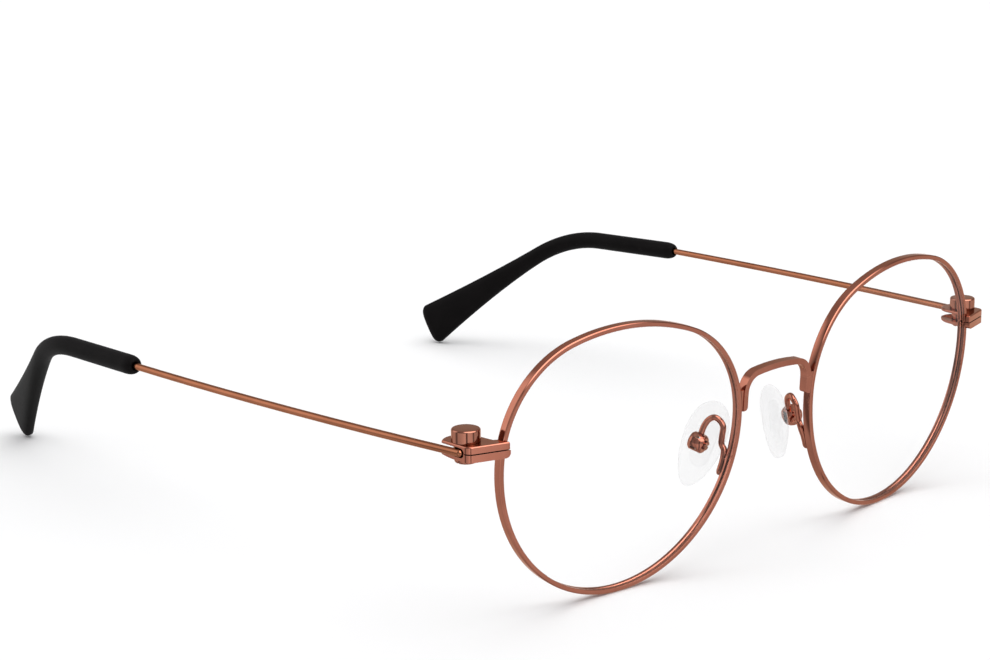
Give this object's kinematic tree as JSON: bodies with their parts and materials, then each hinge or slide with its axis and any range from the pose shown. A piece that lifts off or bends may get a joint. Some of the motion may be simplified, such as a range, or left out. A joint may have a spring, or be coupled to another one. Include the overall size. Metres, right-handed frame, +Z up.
{
  "type": "round wire eyeglasses",
  "caption": "Round wire eyeglasses with a flat arched bridge, knob hinges on rim locks, folding wire temples with bent paddle tips, clear lenses and rocking nose pads.",
  "frame": {"origin": "on the floor, under the middle of the box of the open glasses standing on the rims and the tips of the temples", "axes": "+X towards the wearer's left, +Y back along the temples, +Z up"},
  "size_m": [0.1388, 0.1512, 0.0444],
  "materials": {
    "copper_metal": "polished copper-brown plating",
    "tip_black": "satin black acetate",
    "lens_clear": "clear, polished",
    "pad_clear": "clear soft silicone, slightly frosted",
    "core_clear": "pale clear plastic"
  },
  "bodies": {
    "front": {"left_rim": "copper_metal", "right_rim": "copper_metal", "left_lens": "lens_clear", "right_lens": "lens_clear", "bridge": "copper_metal", "left_upper_lug": "copper_metal", "right_upper_lug": "copper_metal", "left_lower_lug": "copper_metal", "right_lower_lug": "copper_metal", "left_hinge_knob": "copper_metal", "right_hinge_knob": "copper_metal", "left_hinge_screw": "copper_metal", "right_hinge_screw": "copper_metal", "left_pad_arm": "copper_metal", "right_pad_arm": "copper_metal", "left_pad_box": "copper_metal", "right_pad_box": "copper_metal", "left_pad_screw": "copper_metal", "right_pad_screw": "copper_metal"},
    "left_temple": {"left_hinge_barrel": "copper_metal", "left_temple_wire": "copper_metal", "left_temple_tip": "tip_black"},
    "right_temple": {"right_hinge_barrel": "copper_metal", "right_temple_wire": "copper_metal", "right_temple_tip": "tip_black"},
    "left_pad": {"left_pad_core": "core_clear", "left_nose_pad": "pad_clear"},
    "right_pad": {"right_pad_core": "core_clear", "right_nose_pad": "pad_clear"}
  },
  "joints": [
    {"name": "left_temple_fold", "type": "hinge", "parent": "front", "child": "left_temple", "pos_m": [0.06164, -0.06688, 0.0286], "axis": [0, 0, 1], "range_deg": [0, 89]},
    {"name": "right_temple_fold", "type": "hinge", "parent": "front", "child": "right_temple", "pos_m": [-0.06164, -0.06688, 0.0286], "axis": [0, 0, -1], "range_deg": [0, 73]},
    {"name": "left_pad_rock", "type": "hinge", "parent": "front", "child": "left_pad", "pos_m": [0.0116, -0.06838, 0.01955], "axis": [0.256, 0.9245, 0.2824], "range_deg": [-5, 5]},
    {"name": "right_pad_rock", "type": "hinge", "parent": "front", "child": "right_pad", "pos_m": [-0.0116, -0.06838, 0.01955], "axis": [-0.256, 0.9245, 0.2824], "range_deg": [-5, 5]}
  ]
}
